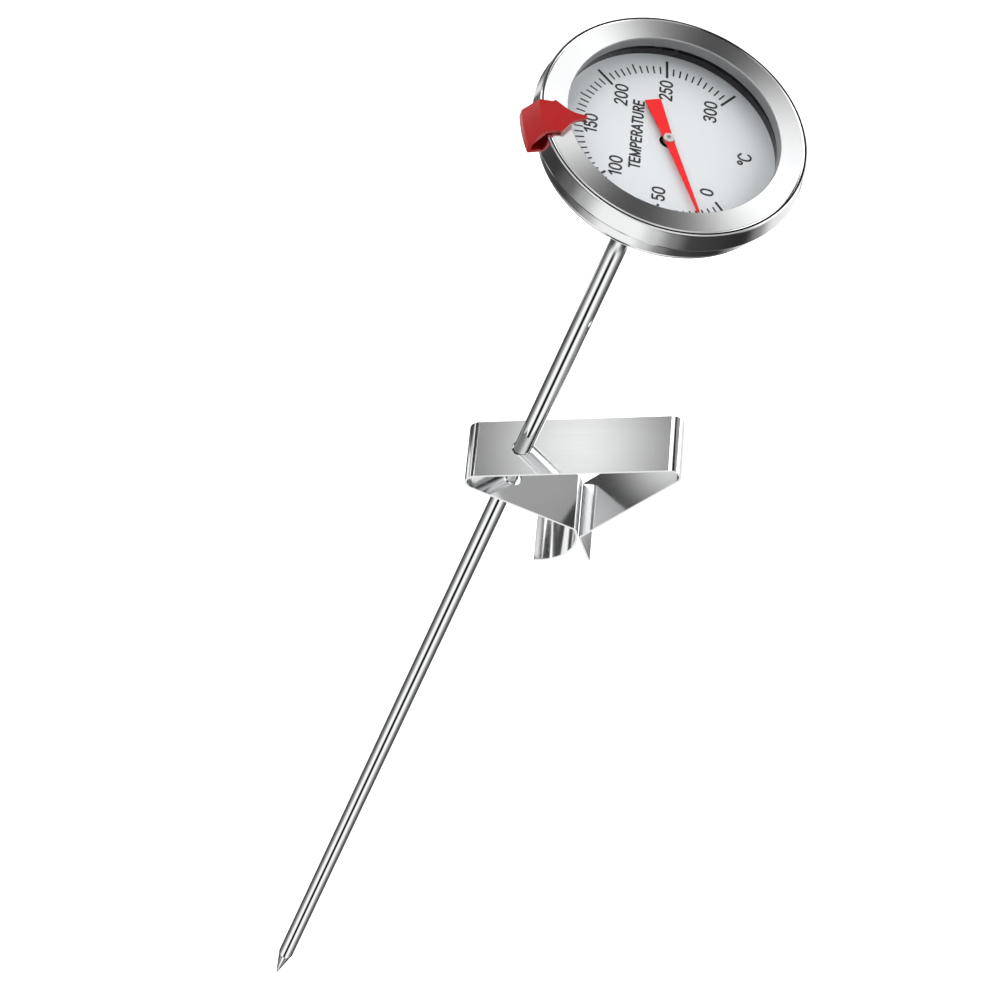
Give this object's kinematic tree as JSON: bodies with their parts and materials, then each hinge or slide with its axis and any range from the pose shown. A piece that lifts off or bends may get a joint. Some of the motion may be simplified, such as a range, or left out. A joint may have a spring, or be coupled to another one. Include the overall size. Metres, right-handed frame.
{
  "type": "dial thermometer probe",
  "caption": "Round-dial thermometer on a long pointed stem, with a red target marker on its rim and a spring clip that slides along the stem.",
  "frame": {"origin": "on the stem's axis where it leaves the flat back of the case", "axes": "+Z along the stem towards the viewer of the dial, +Y towards the top of the dial (the 150 mark), +X to the dial's right"},
  "size_m": [0.0548, 0.0627, 0.381],
  "materials": {
    "polished_steel": "polished",
    "spring_steel": "polished, faint rolling grain",
    "satin_steel": "satin",
    "black_rubber": "matte",
    "clear_glass": "clear",
    "grey_reflector": "satin",
    "dial_white": "matte enamel",
    "black_ink": "printed",
    "plain_brass": "turned",
    "bimetal_strip": "rolled",
    "pointer_red": "gloss lacquer",
    "marker_red": "gloss"
  },
  "bodies": {
    "case": {"case_back_cup": "polished_steel", "bezel_ring": "polished_steel", "bezel_gasket": "black_rubber", "glass_lens": "clear_glass", "reflector_ring": "grey_reflector", "dial_seat_ring": "grey_reflector", "dial_plate": "dial_white", "dial_print": "black_ink", "stem_tube": "polished_steel", "stem_point": "polished_steel", "stem_ferrule": "polished_steel", "ferrule_nut": "plain_brass", "upper_shaft_guide": "plain_brass", "middle_shaft_guide": "plain_brass", "lower_shaft_guide": "plain_brass", "bimetal_coil": "bimetal_strip"},
    "pointer": {"pointer": "pointer_red", "pointer_collet": "plain_brass", "pointer_cap": "satin_steel", "pointer_shaft": "satin_steel", "coil_coupling": "plain_brass"},
    "marker": {"target_marker": "marker_red"},
    "clip": {"clip_band": "spring_steel"},
    "left_jaw": {"clip_jaw_left": "spring_steel"},
    "right_jaw": {"clip_jaw_right": "spring_steel"}
  },
  "joints": [
    {"name": "pointer_turn", "type": "hinge", "parent": "case", "child": "pointer", "pos_m": [0, 0, 0.0055], "axis": [0, 0, -1], "range_deg": [-17.3, 242.6], "stiffness_Nm_per_rad": 0.0005},
    {"name": "marker_turn", "type": "hinge", "parent": "case", "child": "marker", "pos_m": [0, 0, 0.0105], "axis": [0, 0, 1], "continuous": true},
    {"name": "clip_slide", "type": "slide", "parent": "case", "child": "clip", "axis": [0, 0, 1], "range_m": [-0.235, 0.085]},
    {"name": "left_jaw_flex", "type": "hinge", "parent": "clip", "child": "left_jaw", "pos_m": [0, 0.00847, -0.11143], "axis": [1, 0, 0], "range_deg": [0, 6], "stiffness_Nm_per_rad": 1},
    {"name": "right_jaw_flex", "type": "hinge", "parent": "clip", "child": "right_jaw", "pos_m": [0, -0.03255, -0.09317], "axis": [-1, 0, 0], "range_deg": [0, 6], "stiffness_Nm_per_rad": 1}
  ]
}
